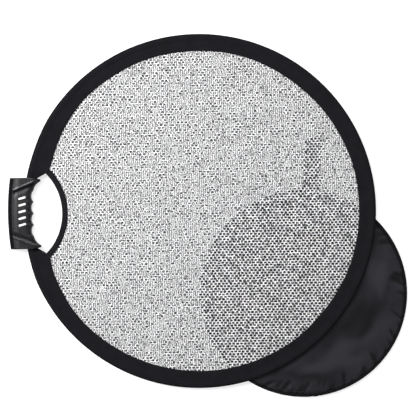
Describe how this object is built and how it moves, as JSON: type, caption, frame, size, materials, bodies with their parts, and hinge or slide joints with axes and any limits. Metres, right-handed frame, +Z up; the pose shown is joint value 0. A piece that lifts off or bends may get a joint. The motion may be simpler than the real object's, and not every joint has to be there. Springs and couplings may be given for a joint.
{
  "type": "collapsible reflector disc",
  "caption": "Round collapsible light reflector with a silver net, black cloth rim on a spring hoop, a hand hole with a moulded grip, and a round zipped pouch with a strap.",
  "frame": {"origin": "on the ground under the middle of the whole object's box", "axes": "+Z up out of the disc's face; the grip is on -X and the pouch is under the disc's +X -Y quarter"},
  "size_m": [0.9009, 0.8251, 0.03],
  "materials": {
    "silver_net": "metallised silver knit net, satin sheen",
    "band_cloth": "black woven polyester, matte",
    "tape_cloth": "black bias tape, matte",
    "edge_cord": "black bound edge, matte",
    "thread": "black polyester thread",
    "spring_steel": "tempered flat spring wire, satin",
    "ferrule_metal": "drawn sleeve, satin",
    "rivet_metal": "rivets, satin",
    "grip_plastic": "dark grey moulded grip, semi gloss",
    "clamp_plastic": "moulded clamp bars, matte",
    "screw_metal": "pan head screws, zinc plated",
    "mark_ink": "white printed mark",
    "pouch_satin": "black satin nylon, soft sheen",
    "pouch_binding": "black bound edge, matte",
    "zip_cloth": "black zip tape, matte",
    "zip_coil": "black nylon zip coil",
    "webbing": "black woven webbing, matte",
    "slider_metal": "black painted zip slider"
  },
  "bodies": {
    "disc": {"spring_hoop": "spring_steel", "splice_ferrule": "ferrule_metal", "ferrule_rivets": "rivet_metal", "silver_net": "silver_net", "rim_band_front": "band_cloth", "rim_band_back": "band_cloth", "rim_edge_cord": "edge_cord", "inner_seam_front": "thread", "inner_seam_back": "thread", "hoop_seam_front": "thread", "hoop_seam_back": "thread", "hand_hole_bartacks": "thread"},
    "grip_end": {"hand_hole_tape_front": "tape_cloth", "hand_hole_tape_back": "tape_cloth", "hand_hole_binding": "edge_cord", "grip_front_shell": "grip_plastic", "grip_back_shell": "grip_plastic", "hoop_clamp_front": "clamp_plastic", "hoop_clamp_back": "clamp_plastic", "grip_screws": "screw_metal", "grip_mark": "mark_ink"},
    "pouch": {"pouch_top_panel": "pouch_satin", "pouch_bottom_panel": "pouch_satin", "pouch_top_binding": "pouch_binding", "pouch_bottom_binding": "pouch_binding", "pouch_gusset": "pouch_binding", "zip_tape_upper": "zip_cloth", "zip_tape_lower": "zip_cloth", "zip_coil_upper": "zip_coil", "zip_coil_lower": "zip_coil", "zip_end_stops": "slider_metal", "pouch_seam": "thread", "strap_anchor_tab": "webbing", "strap_webbing": "webbing"},
    "zip_runner": {"zip_slider": "slider_metal"},
    "zip_pull": {"zip_pull_tab": "slider_metal"}
  },
  "joints": [
    {"name": "rim_flex", "type": "hinge", "parent": "disc", "child": "grip_end", "pos_m": [-0.10895, 0.0126, 0.015], "axis": [0, 1, 0], "range_deg": [0, 40], "stiffness_Nm_per_rad": 8, "deforming": ["spring_hoop", "silver_net", "rim_band_front", "rim_band_back", "rim_edge_cord", "inner_seam_front", "inner_seam_back", "hoop_seam_front", "hoop_seam_back", "hand_hole_bartacks"]},
    {"name": "pouch_slide", "type": "slide", "parent": "disc", "child": "pouch", "axis": [0.7765, -0.6301, 0], "range_m": [0, 0.34]},
    {"name": "zip_travel", "type": "hinge", "parent": "pouch", "child": "zip_runner", "pos_m": [0.21545, -0.1776, 0.0053], "axis": [0, 0, 1], "range_deg": [-132, 0]},
    {"name": "pull_swing", "type": "hinge", "parent": "zip_runner", "child": "zip_pull", "pos_m": [0.36775, 0.01047, 0.00545], "axis": [0, 0, -1], "range_deg": [0, 180]}
  ]
}
